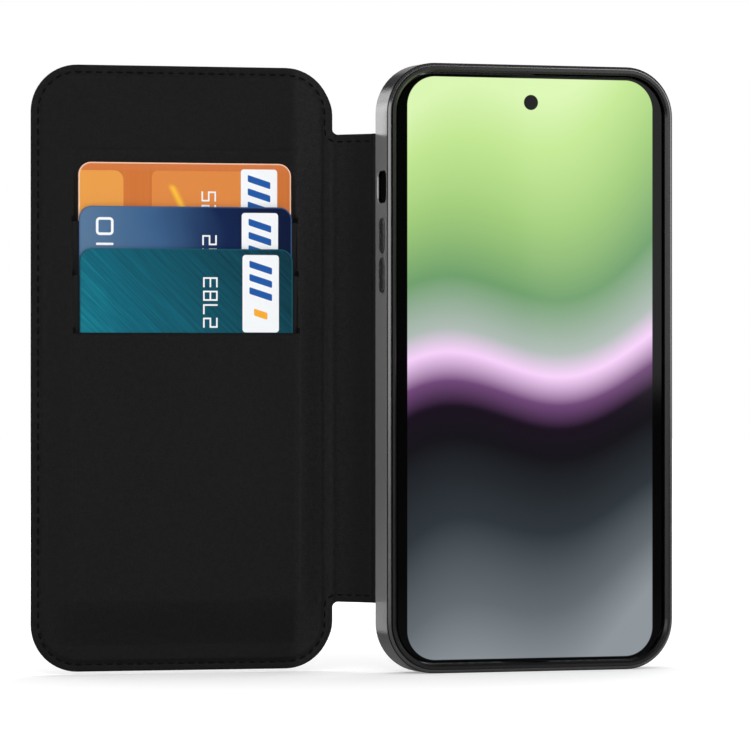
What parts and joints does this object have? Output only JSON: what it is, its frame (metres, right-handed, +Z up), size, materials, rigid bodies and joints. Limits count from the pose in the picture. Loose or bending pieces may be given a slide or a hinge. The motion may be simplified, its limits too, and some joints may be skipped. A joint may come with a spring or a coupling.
{
  "type": "phone wallet case",
  "caption": "Plated phone bumper case with a raised camera frame, a magnet ring and a folding leather cover whose stepped pockets hold bank-size cards.",
  "frame": {"origin": "middle of the charging opening in the bottom edge on which the case stands, at mid thickness", "axes": "+X across the case, to the right as seen from the screen; +Y out of the back plate; +Z up the case towards the camera end"},
  "size_m": [0.1607, 0.0286, 0.1517],
  "materials": {
    "plating": "polished",
    "bumper": "satin",
    "clear_plate": "gloss",
    "magnet": "satin",
    "trim_foil": "polished",
    "leather": "satin",
    "lining": "matte",
    "board": "matte",
    "amber_print": "satin",
    "navy_print": "satin",
    "teal_print": "satin",
    "phone_metal": "satin",
    "front_glass": "polished",
    "rear_glass": "polished",
    "lens_ring": "polished",
    "lens_glass": "polished",
    "flash_lens": "satin",
    "mesh": "matte"
  },
  "bodies": {
    "case_shell": {"plated_frame": "plating", "inner_bumper": "bumper", "back_plate": "clear_plate", "camera_frame": "plating", "magnet_ring": "magnet", "magnet_trim_ring": "trim_foil", "alignment_magnet": "magnet", "alignment_trim": "trim_foil", "tab_leather": "leather"},
    "spine": {"spine_leather": "leather", "spine_lining": "lining", "back_fold_leather": "leather"},
    "cover": {"cover_leather": "leather", "cover_board": "board", "cover_lining": "lining", "front_fold_leather": "leather", "pocket_panel_1": "lining", "pocket_panel_2": "lining", "pocket_panel_3": "lining"},
    "amber_card": {"amber_card": "amber_print"},
    "navy_card": {"navy_card": "navy_print"},
    "teal_card": {"teal_card": "teal_print"},
    "phone": {"phone_body": "phone_metal", "phone_front_glass": "front_glass", "phone_rear_glass": "rear_glass", "camera_island": "rear_glass", "lens_rings": "lens_ring", "lens_glasses": "lens_glass", "flash_lens": "flash_lens", "microphone_mesh": "mesh"},
    "volume_up_button": {"volume_up_button": "plating"},
    "volume_down_button": {"volume_down_button": "plating"},
    "power_button": {"power_button": "plating"}
  },
  "joints": [
    {"name": "spine_fold", "type": "hinge", "parent": "case_shell", "child": "spine", "pos_m": [-0.03825, 0.0052, 0.07585], "axis": [0, 0, 1], "range_deg": [-40, 140], "deforming": ["back_fold_leather"]},
    {"name": "cover_fold", "type": "hinge", "parent": "spine", "child": "cover", "pos_m": [-0.04597, 0.01556, 0.07585], "axis": [0, 0, 1], "range_deg": [-134.9, 45.1], "deforming": ["front_fold_leather"]},
    {"name": "phone_slide", "type": "slide", "parent": "case_shell", "child": "phone", "axis": [0, 1, 0], "range_m": [-0.014, 0]},
    {"name": "amber_card_slide", "type": "slide", "parent": "cover", "child": "amber_card", "axis": [0, 0, -1], "range_m": [-0.075, 0]},
    {"name": "navy_card_slide", "type": "slide", "parent": "cover", "child": "navy_card", "axis": [0, 0, -1], "range_m": [-0.075, 0]},
    {"name": "teal_card_slide", "type": "slide", "parent": "cover", "child": "teal_card", "axis": [0, 0, -1], "range_m": [-0.075, 0]},
    {"name": "volume_up_press", "type": "slide", "parent": "case_shell", "child": "volume_up_button", "axis": [1, 0, 0], "range_m": [0, 0.0004], "stiffness_N_per_m": 1500},
    {"name": "volume_down_press", "type": "slide", "parent": "case_shell", "child": "volume_down_button", "axis": [1, 0, 0], "range_m": [0, 0.0004], "stiffness_N_per_m": 1500},
    {"name": "power_press", "type": "slide", "parent": "case_shell", "child": "power_button", "axis": [-1, 0, 0], "range_m": [0, 0.0004], "stiffness_N_per_m": 1500}
  ]
}
